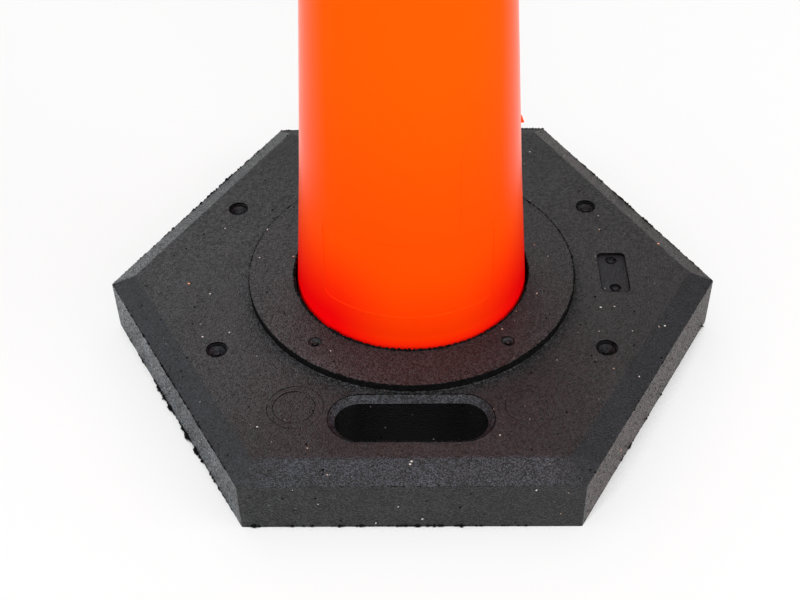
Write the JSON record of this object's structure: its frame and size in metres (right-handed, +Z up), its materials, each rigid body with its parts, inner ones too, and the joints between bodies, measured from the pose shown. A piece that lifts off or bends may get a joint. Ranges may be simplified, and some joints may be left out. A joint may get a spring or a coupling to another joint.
{
  "type": "traffic delineator post and base",
  "caption": "Hexagonal black crumb-rubber ballast base with hand slots, dropped over a hollow tapered orange delineator post with a foot flange, reflective bands and a crossbar handle.",
  "frame": {"origin": "on the floor, at the post's axis", "axes": "+Z up along the post; the hexagon's corners lie on X, the post's panel and a hand slot face -Y"},
  "size_m": [0.5076, 0.44, 1.0669],
  "materials": {
    "crumb_rubber": "matte",
    "orange_plastic": "satin",
    "orange_sheeting": "gloss",
    "white_sheeting": "gloss"
  },
  "bodies": {
    "post": {"post": "orange_plastic", "top_orange_band": "orange_sheeting", "upper_white_band": "white_sheeting", "lower_orange_band": "orange_sheeting", "lower_white_band": "white_sheeting"},
    "base": {"rubber_base": "crumb_rubber"}
  },
  "joints": [
    {"name": "base_lift", "type": "slide", "parent": "post", "child": "base", "axis": [0, 0, 1], "range_m": [0, 1.08]}
  ]
}
